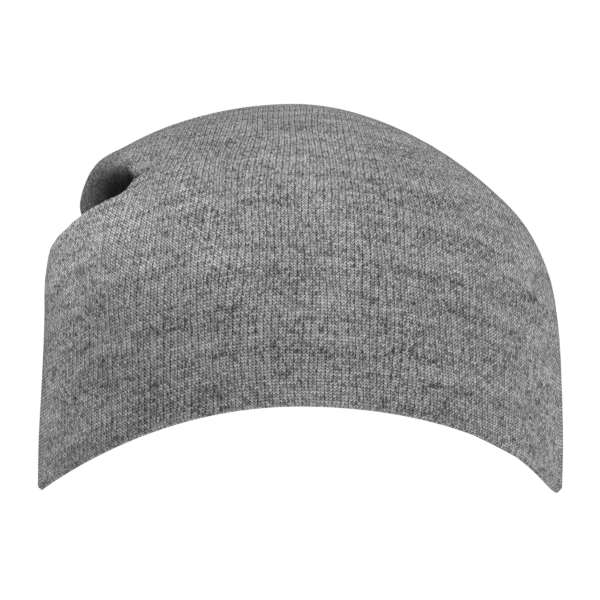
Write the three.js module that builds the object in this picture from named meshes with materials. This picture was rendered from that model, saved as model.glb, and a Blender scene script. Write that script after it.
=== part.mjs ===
// A slouchy knitted beanie in the shape it has on a head, in millimetres, with +Z up and the brow at -Y.
// The origin is the middle of the head opening, level with the hem over the ears.
// It is one tube of knit that runs from the hem over the crown and narrows to a tip.
// The tip flops back, and there the knit buckles into a deep fold.
// The fold starts beside the crown on the wearer's right and runs round to the nape.

import * as THREE from "three";

const WIDTH = 180; // over the ears, outside
const DEPTH = 208; // from brow to nape, outside
const CROWN_HEIGHT = 132; // from the hem over the ears to the top
const KNIT_LENGTH = 285; // along the knit from the hem over the crown to the tip
const KNIT_THICKNESS = 2.5; // two layers of fine knit, turned in at the hem
const FOLD_DEPTH = 22; // how far the knit is tucked in where the fold is deepest
const FOLD_LIP = 3; // how far the knit swells just below the fold
const FOLD_BULGE = 3.5; // how far it swells just above
const TIP_SIDEWAYS = -23; // the tip lies on the wearer's right
const HEM_DIP = 4.5; // how much lower the hem hangs in front of the wearer's left ear
const HEM_DIP_ANGLE = 344; // where that is, in degrees round from +X towards the nape
const HEM_DIP_SPREAD = 17; // how wide it is, in degrees
const HEM_DIP_HEIGHT = 32; // how far up the knit it is felt
const FOLD_TUCKS_TO = [0, 20, 58]; // the point in the head's middle that the fold is tucked towards

const HALF_WIDTH = WIDTH / 2;
const HALF_DEPTH = DEPTH / 2;
const FACES_ROUND = 88;

// The rings of the tube from the hem to the tip. Each one runs through a point at the brow, at the nape,
// on the wearer's left and on the wearer's right. "along" is a share of KNIT_LENGTH, every X is a share
// of HALF_WIDTH, every Y of HALF_DEPTH and every Z of CROWN_HEIGHT. "sideY" moves both sides back, and
// the last three raise the corner between the nape and the wearer's left, between the brow and the
// wearer's left, and between the brow and the wearer's right.
const RINGS = table(
  [
    "along", "browY", "browZ", "napeY", "napeZ", "leftX", "leftZ", "rightX", "rightZ", "sideY",
    "napeLeftZ", "browLeftZ", "browRightZ",
  ],
  [
    [0.0, -0.975, 0.278, 0.975, 0.191, 1.0, 0.021, -1.0, 0.001, 0, 0, 0.014, 0],
    [0.06, -1.0, 0.395, 1.005, 0.3, 1.003, 0.133, -0.996, 0.13, 0, 0, 0.01, 0],
    [0.12, -0.995, 0.517, 1.0, 0.41, 0.998, 0.257, -0.983, 0.27, 0, 0, 0.004, 0],
    [0.19, -0.95, 0.646, 0.966, 0.505, 0.986, 0.402, -0.973, 0.415, 0, 0, 0, 0],
    [0.26, -0.855, 0.763, 0.905, 0.58, 0.954, 0.535, -0.97, 0.545, 0, -0.01, 0, 0],
    [0.33, -0.71, 0.858, 0.82, 0.62, 0.879, 0.646, -0.93, 0.635, 0.02, -0.02, 0, 0],
    [0.4, -0.53, 0.923, 0.87, 0.64, 0.783, 0.714, -0.852, 0.714, 0.07, -0.05, -0.005, 0],
    [0.47, -0.32, 0.966, 1.03, 0.53, 0.7, 0.732, -0.826, 0.757, 0.12, -0.08, -0.012, 0],
    [0.54, -0.095, 0.99, 1.11, 0.425, 0.63, 0.724, -0.803, 0.76, 0.17, -0.07, -0.018, -0.007],
    [0.62, 0.155, 0.996, 1.175, 0.375, 0.57, 0.7, -0.765, 0.734, 0.17, -0.04, -0.022, 0],
    [0.7, 0.415, 0.973, 1.23, 0.385, 0.5, 0.677, -0.712, 0.7, 0.14, -0.02, -0.012, 0],
    [0.78, 0.665, 0.91, 1.262, 0.43, 0.4, 0.645, -0.645, 0.655, 0.09, 0, 0, 0],
    [0.86, 0.89, 0.822, 1.27, 0.49, 0.25, 0.622, -0.57, 0.625, 0.04, 0, 0, 0],
    [0.93, 1.06, 0.72, 1.245, 0.55, 0.02, 0.608, -0.47, 0.605, 0, 0, 0, 0],
    [1.0, 1.18, 0.61, 1.18, 0.61, -0.26, 0.61, -0.26, 0.61, 0, 0, 0, 0],
  ],
);

// The fold from its end behind the wearer's left ear to its end beside the crown. "angle" is in degrees
// round from +X towards the nape, "along" is a share of KNIT_LENGTH, "below" and "above" are how far the
// fold reaches down and up the knit from its bottom in millimetres, and the rest are shares of
// FOLD_DEPTH, FOLD_LIP and FOLD_BULGE.
const FOLD = table(
  ["angle", "along", "depth", "below", "above", "lip", "bulge"],
  [
    [40, 0.37, 0, 11, 11, 0, 0],
    [70, 0.365, 0.35, 11, 11, 0, 0],
    [100, 0.362, 0.75, 10, 10.5, 0, 0],
    [140, 0.358, 1, 8, 11, 0.2, 0.2],
    [180, 0.345, 1, 6, 12, 0.5, 0.4],
    [203, 0.347, 1.1, 5, 12, 0.55, 0.6],
    [213, 0.358, 1.2, 4.8, 8, 0.5, 0.5],
    [219, 0.36, 1.2, 4.5, 5.5, 0.4, 0.4],
    [226, 0.36, 0, 4.5, 4.5, 0, 0],
  ],
);

// Where the rings of faces lie, as shares of KNIT_LENGTH: close together in the fold
const FACE_ROWS = [
  0, 0.03, 0.07, 0.11, 0.15, 0.19, 0.225, 0.255, 0.28, 0.3, 0.316, 0.329, 0.34, 0.35, 0.359, 0.368, 0.379,
  0.393, 0.41, 0.43, 0.455, 0.485, 0.52, 0.56, 0.6, 0.645, 0.69, 0.735, 0.78, 0.825, 0.87, 0.915, 0.96,
];

function table(columns, rows) {
  return Object.fromEntries(columns.map((name, i) => [name, rows.map((row) => row[i])]));
}

// A smooth curve through the table's values, read at a value of its first column
function readTable(values, places, at) {
  const last = places.length - 1;
  let i = 0;
  while (i < last - 1 && at >= places[i + 1]) i += 1;
  const span = (k) => places[k + 1] - places[k];
  const rise = (k) => (values[k + 1] - values[k]) / span(k);
  const slope = (k) => {
    if (k === 0) return rise(0);
    if (k === last) return rise(last - 1);
    return (rise(k - 1) * span(k) + rise(k) * span(k - 1)) / (span(k - 1) + span(k));
  };
  const t = (at - places[i]) / span(i);
  const start = (1 + 2 * t) * (1 - t) ** 2 * values[i] + t * (1 - t) ** 2 * span(i) * slope(i);
  const end = t * t * (3 - 2 * t) * values[i + 1] + t * t * (t - 1) * span(i) * slope(i + 1);
  return start + end;
}

function smoothStep(from, to, value) {
  const t = Math.min(Math.max((value - from) / (to - from), 0), 1);
  return t * t * (3 - 2 * t);
}

function bell(distance, width) {
  return Math.exp(-((distance / width) ** 2));
}

// How much a ring is raised at the corner that this direction points to
function cornerZ(ring, cos, sin) {
  if (sin < 0) return cos > 0 ? ring("browLeftZ") : ring("browRightZ");
  return cos > 0 ? ring("napeLeftZ") : 0;
}

// The outside of the knit before it buckles
function ringPoint(degrees, along) {
  const cos = Math.cos((degrees * Math.PI) / 180);
  const sin = Math.sin((degrees * Math.PI) / 180);
  const ring = (name) => readTable(RINGS[name], RINGS.along, along);
  const side = cos * cos;
  const back = (1 + sin) / 2;
  const middle = (ring("leftX") + ring("rightX")) / 2;
  const half = (ring("leftX") - ring("rightX")) / 2;
  const sideZ = (ring("leftZ") * (1 + cos)) / 2 + (ring("rightZ") * (1 - cos)) / 2;
  const x = (middle * side + half * cos) * HALF_WIDTH;
  const y = ring("browY") * (1 - back) + ring("napeY") * back + side * ring("sideY");
  const z = ring("browZ") * (1 - back) + ring("napeZ") * back;
  const sideRise = side * (sideZ - (ring("browZ") + ring("napeZ")) / 2);
  const cornerRise = (2 * cos * sin) ** 2 * cornerZ(ring, cos, sin);
  const turned = ((degrees - HEM_DIP_ANGLE + 540) % 360) - 180;
  const dip = HEM_DIP * bell(turned, HEM_DIP_SPREAD) * bell(along * KNIT_LENGTH, HEM_DIP_HEIGHT);
  return new THREE.Vector3(
    x + (1 - side) * TIP_SIDEWAYS * smoothStep(0.5, 1, along),
    y * HALF_DEPTH,
    (z + sideRise + cornerRise) * CROWN_HEIGHT - dip,
  );
}

// The outside of the knit with its fold
function outerPoint(degrees, along) {
  const angle = ((degrees % 360) + 360) % 360;
  const point = ringPoint(angle, along);
  if (angle <= FOLD.angle[0] || angle >= FOLD.angle.at(-1)) return point;
  const fold = (name) => readTable(FOLD[name], FOLD.angle, angle);
  const below = fold("below");
  const above = fold("above");
  const up = (along - fold("along")) * KNIT_LENGTH;
  const tuck = FOLD_DEPTH * Math.max(fold("depth"), 0) * bell(up, up < 0 ? below : above);
  const lip = FOLD_LIP * fold("lip") * bell(up + 1.9 * below, 1.3 * below);
  const bulge = FOLD_BULGE * fold("bulge") * bell(up - 2.3 * above, 1.6 * above);
  const inward = new THREE.Vector3(...FOLD_TUCKS_TO).sub(point).normalize();
  return point.addScaledVector(inward, tuck - lip - bulge);
}

// Which way the outside of the knit faces
function outward(degrees, along) {
  const above = Math.min(along + 0.004, 1);
  const below = Math.max(along - 0.004, 0);
  const round = outerPoint(degrees + 0.5, along).sub(outerPoint(degrees - 0.5, along));
  const up = outerPoint(degrees, above).sub(outerPoint(degrees, below));
  return round.cross(up).normalize();
}

const angles = Array.from({ length: FACES_ROUND }, (_, i) => (360 * i) / FACES_ROUND);
const outside = FACE_ROWS.map((along) => angles.map((degrees) => outerPoint(degrees, along)));
const inside = FACE_ROWS.map((along, row) =>
  angles.map((degrees, i) => {
    const facing = outward(degrees, along);
    return outside[row][i].clone().addScaledVector(facing, -KNIT_THICKNESS);
  }),
);
const turnedEdge = angles.map((_, i) => {
  const middle = outside[0][i].clone().add(inside[0][i]).multiplyScalar(0.5);
  return middle.add(new THREE.Vector3(0, 0, -KNIT_THICKNESS / 2));
});
const tip = outerPoint(0, 1);
const tipFaces = new THREE.Vector3();
angles.forEach((degrees) => tipFaces.add(outward(degrees, 0.97)));
const insideTip = tip.clone().addScaledVector(tipFaces.normalize(), -KNIT_THICKNESS);

// One closed skin: from the inside of the tip down to the hem, round its edge and back up the outside
const rings = [...inside.toReversed(), turnedEdge, ...outside];
const points = [...rings.flat(), insideTip, tip];
const insideTipIndex = points.length - 2;
const tipIndex = points.length - 1;
const triangles = [];
for (let i = 0; i < FACES_ROUND; i += 1) {
  const next = (i + 1) % FACES_ROUND;
  triangles.push(insideTipIndex, next, i);
  for (let ring = 0; ring < rings.length - 1; ring += 1) {
    const a = ring * FACES_ROUND + i;
    const b = ring * FACES_ROUND + next;
    const c = b + FACES_ROUND;
    const d = a + FACES_ROUND;
    if (points[a].distanceTo(points[c]) < points[b].distanceTo(points[d])) {
      triangles.push(a, b, c, a, c, d);
    } else {
      triangles.push(a, b, d, b, c, d);
    }
  }
  const top = (rings.length - 1) * FACES_ROUND;
  triangles.push(top + i, top + next, tipIndex);
}

const geometry = new THREE.BufferGeometry().setFromPoints(points);
geometry.setIndex(triangles);
geometry.computeVertexNormals();

const greyKnit = new THREE.MeshStandardMaterial({ color: 0x858585, roughness: 0.95, metalness: 0 });
const knit = new THREE.Mesh(geometry, greyKnit);
knit.name = "knit_shell";

const beanie = new THREE.Group();
beanie.name = "slouchy_beanie";
beanie.add(knit);

export default beanie;
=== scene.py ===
"""A slouchy knitted beanie in heathered grey, in the shape it has when it is worn.

The knit is made as it would be by hand: one flat sheet is drawn round into a tube, turned in at the
hem and gathered at the tip. Each wale is real relief, and the loops in it are in the material.

Angles are in degrees round from +X, the wearer's left, towards the nape. Places "along" the knit are
shares of its length from the hem (0) over the crown to the tip (1).
"""

import bpy
import numpy as np
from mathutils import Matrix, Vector


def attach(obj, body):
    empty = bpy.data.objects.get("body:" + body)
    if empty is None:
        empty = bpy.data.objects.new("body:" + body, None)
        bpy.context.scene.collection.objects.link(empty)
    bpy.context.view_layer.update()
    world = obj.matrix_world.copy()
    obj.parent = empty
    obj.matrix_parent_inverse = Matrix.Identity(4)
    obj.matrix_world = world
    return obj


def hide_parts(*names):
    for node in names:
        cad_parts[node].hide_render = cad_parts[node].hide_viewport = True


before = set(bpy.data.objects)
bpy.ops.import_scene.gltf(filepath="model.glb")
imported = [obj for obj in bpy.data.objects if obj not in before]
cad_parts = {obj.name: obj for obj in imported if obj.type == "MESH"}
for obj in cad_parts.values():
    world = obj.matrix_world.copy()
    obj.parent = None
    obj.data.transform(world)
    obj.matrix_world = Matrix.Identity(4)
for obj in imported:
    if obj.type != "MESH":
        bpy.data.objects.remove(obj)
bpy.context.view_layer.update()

MM = 0.001

# The form, nearly as in the part's own source. At 180 degrees the fold has less of a lip and a steeper
# upper wall, and the soft roll and the pressed places further down are here alone.
WIDTH = 180 * MM  # over the ears, outside
DEPTH = 208 * MM  # from brow to nape, outside
CROWN_HEIGHT = 132 * MM  # from the hem over the ears to the top
KNIT_LENGTH = 285 * MM  # along the knit from the hem over the crown to the tip
KNIT_THICKNESS = 2.5 * MM  # two layers of fine knit, turned in at the hem
FOLD_DEPTH = 22 * MM  # how far the knit is tucked in where the fold is deepest
FOLD_LIP = 3 * MM  # how far the knit swells just below the fold
FOLD_BULGE = 3.5 * MM  # how far it swells just above
TIP_SIDEWAYS = -23 * MM  # the tip lies on the wearer's right
SIDEWAYS_FROM = 0.5  # where along the knit it starts to lean there
HEM_DIP = 4.5 * MM  # how much lower the hem hangs in front of the wearer's left ear
HEM_DIP_ANGLE = 344  # where that is
HEM_DIP_SPREAD = 17  # how wide it is, in degrees
HEM_DIP_HEIGHT = 32 * MM  # how far up the knit it is felt
FOLD_TUCKS_TO = np.array([0, 20, 58]) * MM  # the point in the middle that the fold is tucked towards

# The rings of the tube, each through a point at the brow, at the nape, on the left and on the right.
# Every x is a share of half the width, every y of half the depth and every z of the crown's height.
# "side_y" moves both sides back, and the last three raise the corners between two of the four points.
RING_COLUMNS = (
    "along", "brow_y", "brow_z", "nape_y", "nape_z", "left_x", "left_z", "right_x", "right_z", "side_y",
    "nape_left_z", "brow_left_z", "brow_right_z",
)
RING_ROWS = (
    (0.0, -0.975, 0.278, 0.975, 0.191, 1.0, 0.021, -1.0, 0.001, 0, 0, 0.014, 0),
    (0.06, -1.0, 0.395, 1.005, 0.3, 1.003, 0.133, -0.996, 0.13, 0, 0, 0.01, 0),
    (0.12, -0.995, 0.517, 1.0, 0.41, 0.998, 0.257, -0.983, 0.27, 0, 0, 0.004, 0),
    (0.19, -0.95, 0.646, 0.966, 0.505, 0.986, 0.402, -0.973, 0.415, 0, 0, 0, 0),
    (0.26, -0.855, 0.763, 0.905, 0.58, 0.954, 0.535, -0.97, 0.545, 0, -0.01, 0, 0),
    (0.33, -0.71, 0.858, 0.82, 0.62, 0.879, 0.646, -0.93, 0.635, 0.02, -0.02, 0, 0),
    (0.4, -0.53, 0.923, 0.87, 0.64, 0.783, 0.714, -0.852, 0.714, 0.07, -0.05, -0.005, 0),
    (0.47, -0.32, 0.966, 1.03, 0.53, 0.7, 0.732, -0.826, 0.757, 0.12, -0.08, -0.012, 0),
    (0.54, -0.095, 0.99, 1.11, 0.425, 0.63, 0.724, -0.803, 0.76, 0.17, -0.07, -0.018, -0.007),
    (0.62, 0.155, 0.996, 1.175, 0.375, 0.57, 0.7, -0.765, 0.734, 0.17, -0.04, -0.022, 0),
    (0.7, 0.415, 0.973, 1.23, 0.385, 0.5, 0.677, -0.712, 0.7, 0.14, -0.02, -0.012, 0),
    (0.78, 0.665, 0.91, 1.262, 0.43, 0.4, 0.645, -0.645, 0.655, 0.09, 0, 0, 0),
    (0.86, 0.89, 0.822, 1.27, 0.49, 0.25, 0.622, -0.57, 0.625, 0.04, 0, 0, 0),
    (0.93, 1.06, 0.72, 1.245, 0.55, 0.02, 0.608, -0.47, 0.605, 0, 0, 0, 0),
    (1.0, 1.18, 0.61, 1.18, 0.61, -0.26, 0.61, -0.26, 0.61, 0, 0, 0, 0),
)

# The fold, from its end behind the left ear to its end beside the crown. "below" and "above" are how
# far it reaches down and up the knit from its bottom, in millimetres. "depth", "lip" and "bulge" are
# shares of FOLD_DEPTH, FOLD_LIP and FOLD_BULGE.
FOLD_COLUMNS = ("angle", "along", "depth", "below", "above", "lip", "bulge")
FOLD_ROWS = (
    (40, 0.37, 0, 11, 11, 0, 0),
    (70, 0.365, 0.35, 11, 11, 0, 0),
    (100, 0.362, 0.75, 10, 10.5, 0, 0),
    (140, 0.358, 1, 8, 11, 0.2, 0.2),
    (180, 0.345, 1, 6, 9, 0.1, 0.4),
    (203, 0.347, 1.1, 5, 12, 0.55, 0.6),
    (213, 0.358, 1.2, 4.8, 8, 0.5, 0.5),
    (219, 0.36, 1.2, 4.5, 5.5, 0.4, 0.4),
    (226, 0.36, 0, 4.5, 4.5, 0, 0),
)
LIP_DOWN, LIP_REACH = 1.9, 1.3  # in shares of the fold's reach below its bottom
BULGE_UP, BULGE_REACH = 2.3, 1.6  # in shares of its reach above

# A soft roll of knit over the right temple, below the fold
ROLL = 2.5 * MM
ROLL_ANGLE = 226
ROLL_SPREAD = 24
ROLL_ALONG = 0.17
ROLL_HEIGHT = 20 * MM

# Where the two layers lie pressed together: over the fold's lip and in a crease behind the left ear
PRESSED = 0.75  # how much thinner the knit is there
LIP_PRESSED_HEIGHT = 14 * MM
CREASE_ANGLE = 28
CREASE_SPREAD = 18
CREASE_ALONG = 0.45
CREASE_HEIGHT = 24 * MM

# Painted shade: how dark the knit is painted at the fold's bottom, where its deep shadow falls, from one
# end of the fold to the other
FOLD_DARK = (
    (40, 0), (100, 0.4), (180, 0.65), (193, 0.78), (202, 1.2), (208, 1.65), (214, 1.9), (223, 2.0),
    (226, 1.2), (229, 0),
)
DARK_BELOW, DARK_ABOVE = 0.9, 1.6  # in shares of the fold's reach
DARK_NARROWEST = 0.3  # how much of that is left where the fold runs out
DARKEST = 0.08

# Painted light: the knit is painted paler below the fold, and from there slanting down towards the brow
PALE = 0.45
PALE_ANGLE = 207
PALE_SPREAD = 42
PALE_DOWN = 13  # how far below the fold's bottom, in millimetres
PALE_SLANT = 0.5  # and how much further with each degree towards the brow
PALE_HEIGHT = 24 * MM

# The sheet that the tube is drawn from
WALES = 463  # columns of stitches round the hem
COURSES = 259  # rows of stitches from the hem to the tip
OUTSIDE_ROWS = 64  # rows of faces
FOLD_PLACE, FOLD_CLOSER, FOLD_REACH = 0.37, 4, 0.07  # rows of faces lie closer together in the fold
END_PLACE, END_CLOSER, END_REACH = 0.88, 0.8, 0.1  # and at the bag's end
MATCHED_REACH = 0.1  # so near to the fold, the inside has the same rows as the outside
INSIDE_EVERY = 4  # and elsewhere only every fourth
WALE_RELIEF = 0.16 * MM  # from the gap between two wales up to their crests
PAIR_RELIEF = 0.1 * MM  # every second gap is this much deeper
GATHERED_FROM, GATHERED_TO = 0.75, 0.97  # the wales fade out where the tip is gathered
FACING_ROUND, FACING_ALONG = 0.5, 0.004  # how far off the points are that show which way it faces
ROUND_HEM = 1.4  # the way round the hem from one layer to the other, in thicknesses
BAKE_INSIDE, BAKE_HEM, BAKE_OUTSIDE = 0.13, 0.14, 0.15  # where the two layers end in their own map
POINTS_MEET = 0.002 * MM

# How the wales stray from straight
SEED = 7
WANDER = 0.35  # in wales
WANDER_WAVES = 24
WANDER_TIMES = (2, 28)  # times in one turn, always fewer than the second number
WANDER_RISE = (4, 34)  # in radians from hem to tip

# The yarn's shades: how often each changes in a wale and in a course, its detail and its strength
YARN_SHADES = (
    (2.0, 1.7, 2.0, 1.1),  # fibres
    (0.35, 1.2, 2.0, 0.6),  # dashes
    (0.1, 0.5, 2.0, 0.4),  # tufts
    (0.03, 0.2, 1.0, 0.45),  # long faint streaks
)
FLECK = 0.6  # how much one strand of a stitch differs from the next
YARN_DARK, YARN_MIDDLE, YARN_LIGHT = 0.05, 0.28, 0.52

# The stitches, with painted light on the middles of the loops and painted shadow in the gaps between
# wales and between courses
LEG_RISE = 1.3  # how steeply the two legs of a stitch rise, in courses over a wale
LOOP_LIGHT = 0.85  # how much lighter the middle of a loop is than its ends
LOOP_MEAN = 0.6  # about the mean of a loop's roundness, where the colour stays as it is
GAP_THIN, PAIR_THIN = 5, 9  # powers that make the gaps between two wales and between two pairs thin
GAP_DARK = 0.5  # how dark the gap between two wales is
PAIR_DARK = 0.72  # and between two pairs of wales
PAIR_BROKEN = (0.5, 0.14, 2.4, -0.3)  # changes in a wale and in a course, strength and shift
CROWN_DARK = 0.7  # how much darker those gaps are over the crown
CROWN_BROKEN = (0.9, 0.3, 5.0, -1.7)
CROWN_FADE = (4.0, -1.2)  # from 0.3 to 0.55 along the knit
HOLE_DARK = 0.7  # how much darker a gap is between two courses than beside a loop
LOOP_RELIEF = 0.12 * MM
LOOP_RELIEF_STRENGTH = 0.8

# The studio
STUDIO_LIGHTS = (
    ("soft_front_light", (0.8, -1.1, 0.4), 8.3),
    ("soft_top_light", (0, -0.3, 1.4), 12.2),
    ("soft_top_left_light", (-0.9, -0.1, 1.0), 6.2),
    ("soft_rim_light_left", (-1.1, 0.7, 0.5), 5.2),
    ("soft_rim_light_right", (1.1, 0.7, 0.5), 2.8),
    ("soft_back_light", (0.9, 1.3, 0.3), 15),
)
LIGHT_SIZE = 0.9
FLOOR_SIZE = 40
FLOOR_HEIGHT = -0.35
FLOOR_GLOW = 0.89  # how strongly the pale floor lights the beanie from below
CAMERA_DISTANCE = 1.3
CAMERA_ELEVATION = 3  # degrees above the hem's level
BEANIE_PIXELS, PHOTO_PIXELS = 524, 600  # how wide the beanie and the whole picture are
PHOTO_WIDTH = WIDTH / BEANIE_PIXELS * PHOTO_PIXELS
AIM_HEIGHT = 64.3 * MM


def columns(names, rows):
    return {name: np.array([row[i] for row in rows], float) for i, name in enumerate(names)}


RINGS = columns(RING_COLUMNS, RING_ROWS)
FOLD = columns(FOLD_COLUMNS, FOLD_ROWS)


def read_table(values, places, at):
    """A smooth curve through the table's values, read at values of its first column."""
    span = np.diff(places)
    rise = np.diff(values) / span
    inner = (rise[:-1] * span[1:] + rise[1:] * span[:-1]) / (span[1:] + span[:-1])
    slope = np.concatenate([rise[:1], inner, rise[-1:]])
    i = np.clip(np.searchsorted(places, at, side="right") - 1, 0, len(places) - 2)
    t = (at - places[i]) / span[i]
    start = (1 + 2 * t) * (1 - t) ** 2 * values[i] + t * (1 - t) ** 2 * span[i] * slope[i]
    return start + t * t * (3 - 2 * t) * values[i + 1] + t * t * (t - 1) * span[i] * slope[i + 1]


def smooth_step(low, high, value):
    t = np.clip((value - low) / (high - low), 0, 1)
    return t * t * (3 - 2 * t)


def bell(distance, width):
    return np.exp(-((distance / width) ** 2))


def ring_point(degrees, along):
    """The outside of the knit before it buckles."""
    cos, sin = np.cos(np.radians(degrees)), np.sin(np.radians(degrees))
    ring = {name: read_table(RINGS[name], RINGS["along"], along) for name in RING_COLUMNS[1:]}
    side = cos * cos
    back = (1 + sin) / 2
    middle = (ring["left_x"] + ring["right_x"]) / 2
    half = (ring["left_x"] - ring["right_x"]) / 2
    side_z = ring["left_z"] * (1 + cos) / 2 + ring["right_z"] * (1 - cos) / 2
    corner = np.where(sin > 0, ring["nape_left_z"] * (cos > 0), 0) + np.where(
        sin < 0, np.where(cos > 0, ring["brow_left_z"], ring["brow_right_z"]), 0
    )
    corner_rise = (2 * cos * sin) ** 2 * corner
    x = (middle * side + half * cos) * WIDTH / 2
    y = ring["brow_y"] * (1 - back) + ring["nape_y"] * back + side * ring["side_y"]
    z = ring["brow_z"] * (1 - back) + ring["nape_z"] * back
    side_rise = side * (side_z - (ring["brow_z"] + ring["nape_z"]) / 2)
    turned = (degrees - HEM_DIP_ANGLE + 540) % 360 - 180
    dip = HEM_DIP * bell(turned, HEM_DIP_SPREAD) * bell(along * KNIT_LENGTH, HEM_DIP_HEIGHT)
    x = x + (1 - side) * TIP_SIDEWAYS * smooth_step(SIDEWAYS_FROM, 1, along)
    return np.stack([x, y * DEPTH / 2, (z + side_rise + corner_rise) * CROWN_HEIGHT - dip], -1)


def fold_at(angle, along):
    """The fold's measures at this angle, and how far up the knit from its bottom a point lies."""
    inside = np.clip(angle, FOLD["angle"][0], FOLD["angle"][-1])
    fold = {name: read_table(FOLD[name], FOLD["angle"], inside) for name in FOLD_COLUMNS[1:]}
    fold["below"], fold["above"] = fold["below"] * MM, fold["above"] * MM
    return fold, (along - fold["along"]) * KNIT_LENGTH


def outer_point(degrees, along):
    """The outside of the knit with its fold and the soft roll below it."""
    angle = degrees % 360
    point = ring_point(angle, along)
    fold, up = fold_at(angle, along)
    below, above = fold["below"], fold["above"]
    tuck = FOLD_DEPTH * np.maximum(fold["depth"], 0) * bell(up, np.where(up < 0, below, above))
    lip = FOLD_LIP * fold["lip"] * bell(up + LIP_DOWN * below, LIP_REACH * below)
    bulge = FOLD_BULGE * fold["bulge"] * bell(up - BULGE_UP * above, BULGE_REACH * above)
    from_roll = (along - ROLL_ALONG) * KNIT_LENGTH
    roll = ROLL * bell(angle - ROLL_ANGLE, ROLL_SPREAD) * bell(from_roll, ROLL_HEIGHT)
    inward = FOLD_TUCKS_TO - point
    inward /= np.linalg.norm(inward, axis=-1, keepdims=True)
    folded = (angle > FOLD["angle"][0]) & (angle < FOLD["angle"][-1])
    return point + inward * (np.where(folded, tuck - lip - bulge, 0) - roll)[..., None]


def painted_shade_and_light(degrees, along):
    """Painted shade and light on the knit: shade painted dark deep in the fold, light painted pale below
    it.
    """
    angle = degrees % 360
    fold, up = fold_at(angle, along)
    reach = np.where(up < 0, DARK_BELOW * fold["below"], DARK_ABOVE * fold["above"])
    deep = bell(up, reach * np.clip(fold["depth"], DARK_NARROWEST, 1))
    dark = np.interp(angle, *zip(*FOLD_DARK)) * deep
    down = (PALE_DOWN + PALE_SLANT * np.maximum(angle - PALE_ANGLE, 0)) * MM
    # Painted light, paler below the fold and slanting down towards the brow
    painted_light = PALE * bell(angle - PALE_ANGLE, PALE_SPREAD) * bell(up + down, PALE_HEIGHT)
    return np.clip(1 - dark, DARKEST, 1) ** 2 * (1 + painted_light)


def thickness(degrees, along):
    """How thick the knit is, with its two layers pressed together at the fold's lip and in the crease."""
    angle = degrees % 360
    fold, up = fold_at(angle, along)
    lip = np.clip(fold["depth"], 0, 1) * bell(up + fold["below"], LIP_PRESSED_HEIGHT)
    from_crease = (along - CREASE_ALONG) * KNIT_LENGTH
    crease = bell(angle - CREASE_ANGLE, CREASE_SPREAD) * bell(from_crease, CREASE_HEIGHT)
    return KNIT_THICKNESS * (1 - PRESSED * np.maximum(lip, crease))


def outward(degrees, along):
    """Which way the outside of the knit faces."""
    further, nearer = degrees + FACING_ROUND, degrees - FACING_ROUND
    round_it = outer_point(further, along) - outer_point(nearer, along)
    higher, lower = np.minimum(along + FACING_ALONG, 1), np.maximum(along - FACING_ALONG, 0)
    up = outer_point(degrees, higher) - outer_point(degrees, lower)
    facing = np.cross(round_it, up)
    return facing / np.maximum(np.linalg.norm(facing, axis=-1, keepdims=True), 1e-12)


def row_places():
    """Where the rows of faces lie along the knit: inside from the tip to the hem, outside back up."""
    fine = np.linspace(0, 1, 2001)
    closer_in_fold = FOLD_CLOSER * bell(fine - FOLD_PLACE, FOLD_REACH)
    density = 1 + closer_in_fold + END_CLOSER * bell(fine - END_PLACE, END_REACH)
    passed = np.concatenate([[0], np.cumsum((density[1:] + density[:-1]) / 2)])
    outside = np.interp(np.linspace(0, 1, OUTSIDE_ROWS), passed / passed[-1], fine)
    number = np.arange(OUTSIDE_ROWS)
    in_fold = abs(outside - FOLD_PLACE) < MATCHED_REACH
    inside = outside[in_fold | (number % INSIDE_EVERY == 0) | (number == OUTSIDE_ROWS - 1)]
    return inside[::-1], outside


def wander(column, along):
    """How far the wales stray round the tube, in wales: slow waves that close up after one turn."""
    waves = np.random.default_rng(SEED)
    turn = column * np.pi / WALES
    strayed = np.zeros(len(column))
    for _ in range(WANDER_WAVES):
        times, rise = waves.integers(*WANDER_TIMES), waves.uniform(*WANDER_RISE)
        strayed += np.sin(turn * times + along * rise + waves.uniform(0, 2 * np.pi))
    return WANDER * strayed / (WANDER_WAVES / 2) ** 0.5


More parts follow.
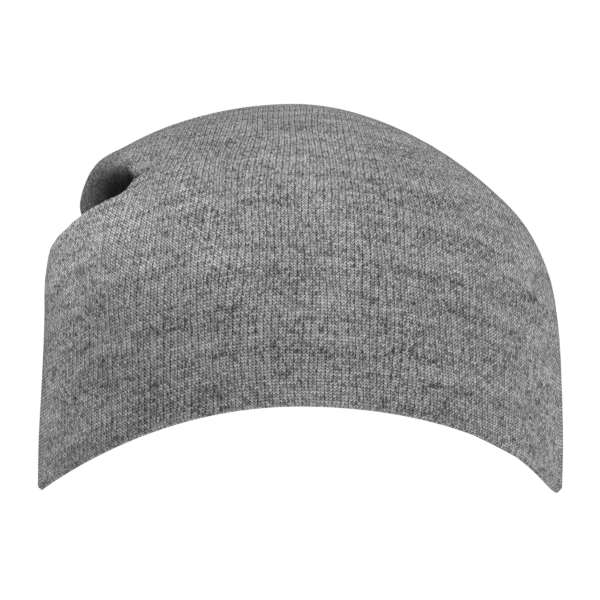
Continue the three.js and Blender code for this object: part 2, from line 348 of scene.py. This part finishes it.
def knit_tube():
    """One sheet of knit from the tip down the inside, round the hem and up the outside to the tip."""
    inside, outside = row_places()
    along_rows = np.concatenate([inside, [0], outside])
    inner_rows = np.concatenate([np.ones(len(inside)), [0.5], np.zeros(len(outside))])
    row_count = len(along_rows) - 1

    # A flat sheet with a line of points on each wale's crest and one in each gap
    bpy.ops.object.select_all(action="DESELECT")
    bpy.ops.mesh.primitive_grid_add(x_subdivisions=2 * WALES, y_subdivisions=row_count, size=1)
    tube = bpy.context.object
    tube.name = tube.data.name = "knit_tube"
    flat = np.empty(len(tube.data.vertices) * 3)
    tube.data.vertices.foreach_get("co", flat)
    flat = flat.reshape(-1, 3)
    column = np.rint((flat[:, 0] + 0.5) * 2 * WALES).astype(int)
    row = np.rint((flat[:, 1] + 0.5) * row_count).astype(int)
    along, inner = along_rows[row], inner_rows[row]
    outer_layer, hem, inner_layer, tip = inner == 0, inner == 0.5, inner == 1, along == 1
    degrees = column * 180 / WALES + wander(column, along) * 360 / WALES
    degrees[tip] = 0  # the tip is one point

    # It is drawn round into the tube, with the wales standing up from both of its faces
    facing = outward(degrees, along)
    round_tip = np.arange(0, 360, 4.0)
    tip_facing = outward(round_tip, np.full_like(round_tip, GATHERED_TO)).sum(0)
    facing[tip] = tip_facing / np.linalg.norm(tip_facing)
    body = outer_point(degrees, along) - facing * (thickness(degrees, along) * inner)[:, None]
    body[hem, 2] -= KNIT_THICKNESS / 2
    gap = (column % 2) * (WALE_RELIEF + PAIR_RELIEF * (column % 4 == 1))
    standing = 1 - smooth_step(GATHERED_FROM, GATHERED_TO, along)
    side = np.where(outer_layer, -1, np.where(inner_layer, 1, 0))
    body += facing * (gap * standing * side)[:, None]
    tube.data.vertices.foreach_set("co", body.ravel())

    # The stitches' map runs on round the hem, and in the other map each layer has a place of its own
    loops = np.empty(len(tube.data.loops), int)
    tube.data.loops.foreach_get("vertex_index", loops)
    round_share = column / (2 * WALES)
    turned_in = KNIT_THICKNESS / KNIT_LENGTH * (ROUND_HEM * inner)
    stitch_uv = np.stack([round_share, np.where(inner_layer, -along, along) - turned_in], -1)
    stitches = tube.data.uv_layers.active
    stitches.name = "Stitches"
    stitches.data.foreach_set("uv", stitch_uv[loops].ravel())
    outside_share = BAKE_OUTSIDE + (1 - BAKE_OUTSIDE) * along
    share = np.where(inner_layer, BAKE_INSIDE * (1 - along), outside_share)
    share[hem] = BAKE_HEM
    bake = tube.data.uv_layers.new(name="OFBake")
    bake.data.foreach_set("uv", np.stack([round_share, share], -1)[loops].ravel())

    # The painted shade deep in the fold and the painted light below it, kept on the points
    shade = tube.data.attributes.new("painted_shade_and_light", "FLOAT", "POINT")
    shade.data.foreach_set("value", np.where(outer_layer, painted_shade_and_light(degrees, along), 1))

    # The sheet's two edges meet, and each end closes in one point
    bpy.ops.object.mode_set(mode="EDIT")
    bpy.ops.mesh.select_all(action="SELECT")
    bpy.ops.mesh.remove_doubles(threshold=POINTS_MEET)
    bpy.ops.object.mode_set(mode="OBJECT")
    bpy.ops.object.shade_smooth()
    return tube


def node(tree, kind, inputs=(), **settings):
    made = tree.nodes.new(kind)
    for name, value in settings.items():
        setattr(made, name, value)
    for socket, value in dict(inputs).items():
        if isinstance(value, bpy.types.NodeSocket):
            tree.links.new(value, made.inputs[socket])
        else:
            made.inputs[socket].default_value = value
    return made


def empty_tree(owner):
    """The node tree of a material or of the world, with nothing in it yet."""
    owner.use_nodes = True
    owner.node_tree.nodes.clear()
    return owner.node_tree


def calc(tree, operation, *values):
    return node(tree, "ShaderNodeMath", enumerate(values), operation=operation).outputs[0]


def grey(value):
    return (value, value, value, 1)


def emission(tree, strength):
    return node(tree, "ShaderNodeEmission", {"Color": grey(1), "Strength": strength}).outputs[0]


def noise(tree, wale, course, in_wale, in_course, detail=2.0):
    """Smooth noise from 0 to 1 over the knit, with so many changes in a wale and in a course."""
    x, y = calc(tree, "MULTIPLY", wale, in_wale), calc(tree, "MULTIPLY", course, in_course)
    place = node(tree, "ShaderNodeCombineXYZ", {"X": x, "Y": y}).outputs[0]
    inputs = {"Vector": place, "Scale": 1.0, "Detail": detail, "Roughness": 0.6}
    return node(tree, "ShaderNodeTexNoise", inputs, noise_dimensions="2D").outputs[0]


def from_centre(tree, place):
    """How far a place is from the middle between two whole numbers, from 0 to a half."""
    return calc(tree, "ABSOLUTE", calc(tree, "SUBTRACT", calc(tree, "FRACT", place), 0.5))


def thin_gap(tree, from_middle, power):
    return calc(tree, "POWER", calc(tree, "MULTIPLY", from_middle, 2), power)


def broken(tree, wale, course, in_wale, in_course, strength, shift):
    """Where the dark line of a gap shows and where it breaks off."""
    shade = noise(tree, wale, course, in_wale, in_course)
    return calc(tree, "MULTIPLY_ADD", shade, strength, shift)


def yarn_colour(tree, wale, course, strand):
    """Light and dark fibres in the yarn, in flecks, dashes, tufts and long faint streaks."""
    light = calc(tree, "MULTIPLY_ADD", strand, FLECK, 0.5 - FLECK / 2)
    for in_wale, in_course, detail, amount in YARN_SHADES:
        shade = noise(tree, wale, course, in_wale, in_course, detail)
        light = calc(tree, "ADD", light, calc(tree, "MULTIPLY_ADD", shade, amount, -amount / 2))
    ramp = node(tree, "ShaderNodeValToRGB", {"Fac": light})
    dark, pale = ramp.color_ramp.elements
    dark.position, dark.color = 0.0, grey(YARN_DARK)
    pale.position, pale.color = 1.0, grey(YARN_LIGHT)
    ramp.color_ramp.elements.new(0.5).color = grey(YARN_MIDDLE)
    return ramp.outputs[0]


def gap_shadow(tree, wale, course, along, gap, loop_round):
    """How dark the painted shadow in the gaps between wales is: more so between pairs, over the crown and
    between courses.
    """
    pair_gap = thin_gap(tree, from_centre(tree, calc(tree, "MULTIPLY", wale, 0.5)), PAIR_THIN)
    pairs = calc(tree, "MULTIPLY", pair_gap, broken(tree, wale, course, *PAIR_BROKEN))
    shadow = calc(tree, "MULTIPLY", pairs, PAIR_DARK)
    crown = calc(tree, "MULTIPLY_ADD", along, *CROWN_FADE)
    crown = node(tree, "ShaderNodeClamp", {0: crown}).outputs[0]
    crown = calc(tree, "MULTIPLY", crown, broken(tree, wale, course, *CROWN_BROKEN))
    crown = calc(tree, "MULTIPLY", crown, CROWN_DARK)
    shadow = calc(tree, "MULTIPLY_ADD", crown, pair_gap, shadow)
    shadow = calc(tree, "ADD", shadow, calc(tree, "MULTIPLY", gap, GAP_DARK))
    holes = calc(tree, "MULTIPLY_ADD", loop_round, -HOLE_DARK, 1 + HOLE_DARK * LOOP_MEAN)
    return calc(tree, "MULTIPLY", shadow, holes)


def grey_knit():
    """Heathered grey wool in stocking stitch, seen close."""
    material = bpy.data.materials.new("grey_knit")
    tree = empty_tree(material)
    uv = node(tree, "ShaderNodeUVMap", uv_map="Stitches").outputs["UV"]
    place = node(tree, "ShaderNodeSeparateXYZ", {0: uv})
    wale = calc(tree, "MULTIPLY", place.outputs["X"], WALES)
    course = calc(tree, "MULTIPLY", place.outputs["Y"], COURSES)

    # Each stitch is a V: its two legs rise from the middle of the wale to its edges
    from_middle = from_centre(tree, wale)
    leaning = calc(tree, "SUBTRACT", course, calc(tree, "MULTIPLY", from_middle, LEG_RISE))
    leg = {"X": calc(tree, "FLOOR", calc(tree, "MULTIPLY", wale, 2)), "Y": calc(tree, "FLOOR", leaning)}
    leg_place = node(tree, "ShaderNodeCombineXYZ", leg).outputs[0]
    strand = node(tree, "ShaderNodeTexWhiteNoise", {"Vector": leg_place}, noise_dimensions="2D")

    # The loop is round along its leg, and a gap lies between two wales
    loop_round = calc(tree, "SINE", calc(tree, "MULTIPLY", calc(tree, "FRACT", leaning), np.pi))
    gap = thin_gap(tree, from_middle, GAP_THIN)
    height = calc(tree, "SUBTRACT", loop_round, gap)
    relief = {"Height": height, "Distance": LOOP_RELIEF, "Strength": LOOP_RELIEF_STRENGTH}
    bump = node(tree, "ShaderNodeBump", relief).outputs[0]

    # The yarn's colour, with painted light on the loops, painted shadow in the gaps and painted shade
    # dark deep in the fold
    yarn = yarn_colour(tree, wale, course, strand.outputs["Value"])
    shadow = gap_shadow(tree, wale, course, place.outputs["Y"], gap, loop_round)
    painted_fold_shade_and_light = node(tree, "ShaderNodeAttribute", attribute_name="painted_shade_and_light").outputs["Fac"]
    # Painted light on the middle of each loop, less at its ends
    lit = calc(tree, "MULTIPLY_ADD", loop_round, LOOP_LIGHT, 1 - LOOP_LIGHT * LOOP_MEAN)
    lit = calc(tree, "MULTIPLY", calc(tree, "SUBTRACT", lit, shadow), painted_fold_shade_and_light)
    lit = node(tree, "ShaderNodeCombineXYZ", {0: lit, 1: lit, 2: lit}).outputs[0]
    colour = node(tree, "ShaderNodeVectorMath", {0: yarn, 1: lit}, operation="MULTIPLY").outputs[0]
    cloth = {
        "Base Color": colour, "Roughness": 0.95, "Specular IOR Level": 0.1, "Sheen Weight": 0.05,
        "Sheen Roughness": 0.4, "Normal": bump,
    }
    surface = node(tree, "ShaderNodeBsdfPrincipled", cloth).outputs[0]
    node(tree, "ShaderNodeOutputMaterial", {"Surface": surface})
    return material


def pale_floor():
    """A floor that is white to look at, lights the beanie softly and is clear from beneath."""
    pale = bpy.data.materials.new("pale_floor")
    tree = empty_tree(pale)
    seen = node(tree, "ShaderNodeLightPath").outputs["Is Camera Ray"]
    sides = {0: seen, 1: emission(tree, FLOOR_GLOW), 2: emission(tree, 1.0)}
    above = node(tree, "ShaderNodeMixShader", sides).outputs[0]
    beneath = node(tree, "ShaderNodeNewGeometry").outputs["Backfacing"]
    clear = node(tree, "ShaderNodeBsdfTransparent").outputs[0]
    both = node(tree, "ShaderNodeMixShader", {0: beneath, 1: above, 2: clear}).outputs[0]
    node(tree, "ShaderNodeOutputMaterial", {"Surface": both})

    bpy.ops.object.select_all(action="DESELECT")
    bpy.ops.mesh.primitive_plane_add(size=FLOOR_SIZE, location=(0, 0, FLOOR_HEIGHT))
    floor = bpy.context.object
    floor.name = "pale_floor"
    floor.data.materials.append(pale)


def studio():
    """A white surround, the pale floor well below the beanie and soft lights round it."""
    scene = bpy.context.scene
    scene.view_settings.view_transform = "Standard"
    scene.cycles.use_denoising = False
    scene.world = bpy.data.worlds.new("pale_surround")
    tree = empty_tree(scene.world)
    seen = node(tree, "ShaderNodeLightPath").outputs["Is Camera Ray"]
    surround = node(tree, "ShaderNodeBackground", {"Color": grey(1), "Strength": seen}).outputs[0]
    node(tree, "ShaderNodeOutputWorld", {"Surface": surround})
    pale_floor()

    for name, place, energy in STUDIO_LIGHTS:
        bpy.ops.object.light_add(type="AREA", location=place)
        light = bpy.context.object
        light.name = name
        light.data.size = LIGHT_SIZE
        light.data.energy = energy
        towards = Vector((0, 0, CROWN_HEIGHT / 2)) - light.location
        light.rotation_euler = towards.to_track_quat("-Z", "Y").to_euler()


def camera():
    """The picture's own view: from the front, a little above the hem."""
    tilt = np.radians(CAMERA_ELEVATION)
    back, up = CAMERA_DISTANCE * np.cos(tilt), CAMERA_DISTANCE * np.sin(tilt)
    bpy.ops.object.camera_add(location=(0, -back, AIM_HEIGHT + up), rotation=(np.pi / 2 - tilt, 0, 0))
    made = bpy.context.object
    made.name = "photo_camera"
    made.data.lens = made.data.sensor_width * CAMERA_DISTANCE / PHOTO_WIDTH
    bpy.context.scene.camera = made


tube = knit_tube()
tube.data.materials.append(grey_knit())
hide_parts("knit_shell")
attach(tube, "root")
studio()
camera()
